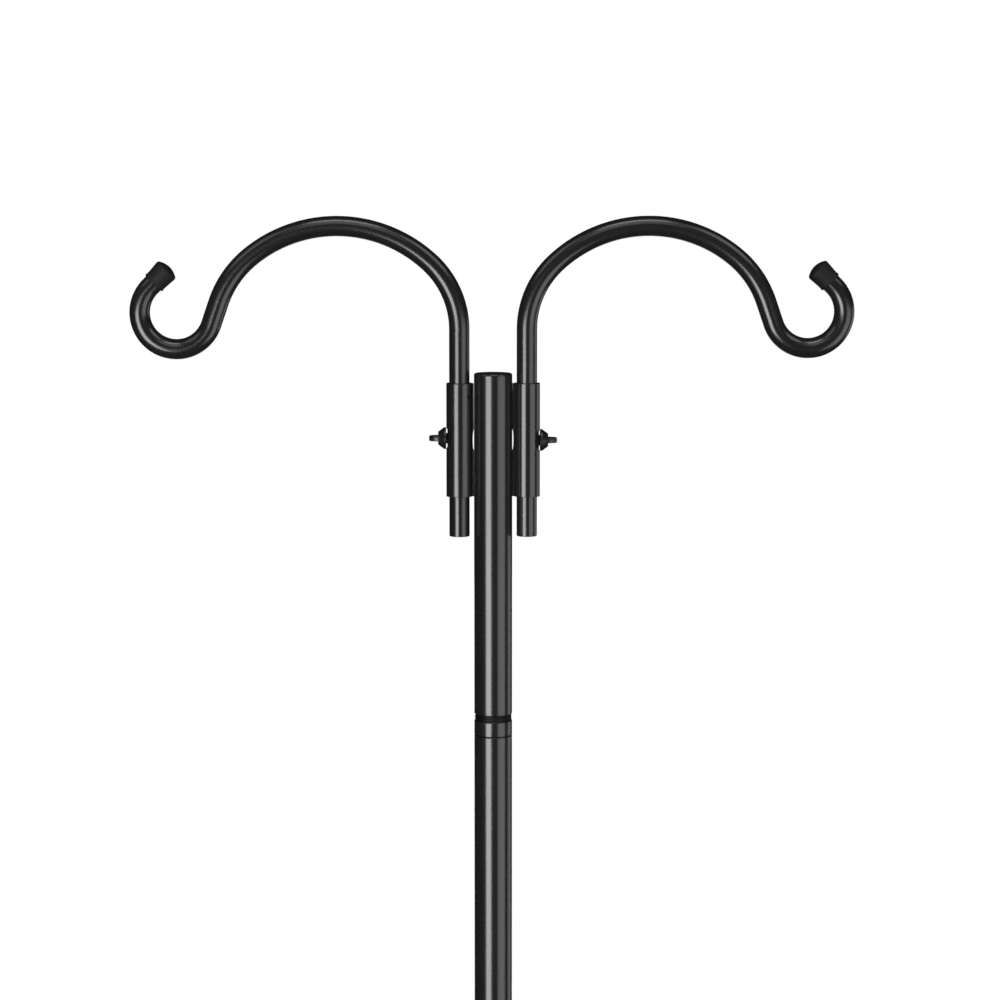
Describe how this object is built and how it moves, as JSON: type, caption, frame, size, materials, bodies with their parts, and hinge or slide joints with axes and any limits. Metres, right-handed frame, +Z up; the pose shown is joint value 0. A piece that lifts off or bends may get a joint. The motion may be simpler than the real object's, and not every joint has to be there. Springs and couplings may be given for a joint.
{
  "type": "garden hanger pole",
  "caption": "Slim ground pole in screwed sections with a pronged base and swing hook arms clamped in side sleeves by thumb screws.",
  "frame": {"origin": "on the pole's axis at the ground line, level with the undersides of the prongs' flat bars", "axes": "+Z up along the pole, +X towards the right arm, -Y is the front"},
  "size_m": [0.5076, 0.15, 1.9648],
  "materials": {
    "pole_paint": "glossy black powder coat on steel tube",
    "arm_paint": "glossy black powder coat on bent steel tube",
    "weld_paint": "black coat over a weld",
    "joint_paint": "glossy black coat, darker in the thread",
    "screw_black": "satin black",
    "cap_rubber": "matt black rubber",
    "plug_black": "black moulded end plug"
  },
  "bodies": {
    "ground_pole": {"base_tube": "pole_paint", "spike_point": "pole_paint", "base_collar": "pole_paint", "right_prong": "pole_paint", "back_prong": "pole_paint", "left_prong": "pole_paint", "front_prong": "pole_paint", "coupler_1": "joint_paint", "insert_1": "joint_paint", "pole_section_1": "pole_paint", "coupler_2": "joint_paint", "insert_2": "joint_paint", "pole_section_2": "pole_paint", "coupler_3": "joint_paint", "insert_3": "joint_paint", "pole_section_3": "pole_paint", "coupler_4": "joint_paint"},
    "head_lift": {"insert_4": "joint_paint"},
    "head": {"top_pole": "pole_paint", "pole_top_plug": "pole_paint", "right_sleeve": "pole_paint", "right_screw_nut": "screw_black", "right_upper_weld": "weld_paint", "right_lower_weld": "weld_paint", "left_sleeve": "pole_paint", "left_screw_nut": "screw_black", "left_upper_weld": "weld_paint", "left_lower_weld": "weld_paint"},
    "right_arm_lift": {"right_arm_plug": "plug_black"},
    "right_arm": {"right_arm": "arm_paint", "right_hook_cap": "cap_rubber"},
    "right_screw_slide": {"right_screw_shank": "screw_black"},
    "right_screw": {"right_screw_head": "screw_black"},
    "left_arm_lift": {"left_arm_plug": "plug_black"},
    "left_arm": {"left_arm": "arm_paint", "left_hook_cap": "cap_rubber"},
    "left_screw_slide": {"left_screw_shank": "screw_black"},
    "left_screw": {"left_screw_head": "screw_black"}
  },
  "joints": [
    {"name": "head_rise", "type": "slide", "parent": "ground_pole", "child": "head_lift", "axis": [0, 0, 1], "range_m": [0, 0.0064]},
    {"name": "head_turn", "type": "hinge", "parent": "head_lift", "child": "head", "pos_m": [0, 0, 1.3626], "axis": [0, 0, 1], "range_deg": [0, 1440]},
    {"name": "right_arm_height", "type": "slide", "parent": "head", "child": "right_arm_lift", "axis": [0, 0, 1], "range_m": [-0.035, 0.055]},
    {"name": "right_arm_swing", "type": "hinge", "parent": "right_arm_lift", "child": "right_arm", "pos_m": [0.0237, 0, 1.5577], "axis": [0, 0, 1], "range_deg": [-150, 150]},
    {"name": "right_screw_travel", "type": "slide", "parent": "head", "child": "right_screw_slide", "axis": [1, 0, 0], "range_m": [0, 0.000625]},
    {"name": "right_screw_turn", "type": "hinge", "parent": "right_screw_slide", "child": "right_screw", "pos_m": [0.0333, 0, 1.5574], "axis": [1, 0, 0], "range_deg": [0, 180]},
    {"name": "left_arm_height", "type": "slide", "parent": "head", "child": "left_arm_lift", "axis": [0, 0, 1], "range_m": [-0.035, 0.055]},
    {"name": "left_arm_swing", "type": "hinge", "parent": "left_arm_lift", "child": "left_arm", "pos_m": [-0.0237, 0, 1.5577], "axis": [0, 0, 1], "range_deg": [-150, 150]},
    {"name": "left_screw_travel", "type": "slide", "parent": "head", "child": "left_screw_slide", "axis": [-1, 0, 0], "range_m": [0, 0.000625]},
    {"name": "left_screw_turn", "type": "hinge", "parent": "left_screw_slide", "child": "left_screw", "pos_m": [-0.0333, 0, 1.5589], "axis": [-1, 0, 0], "range_deg": [0, 180]}
  ],
  "couplings": [
    {"joint": "head_rise", "follows": "head_turn", "m_per_rad": 0.00025465},
    {"joint": "right_screw_turn", "follows": "right_screw_travel", "rad_per_m": 5026.5},
    {"joint": "left_screw_turn", "follows": "left_screw_travel", "rad_per_m": 5026.5}
  ]
}
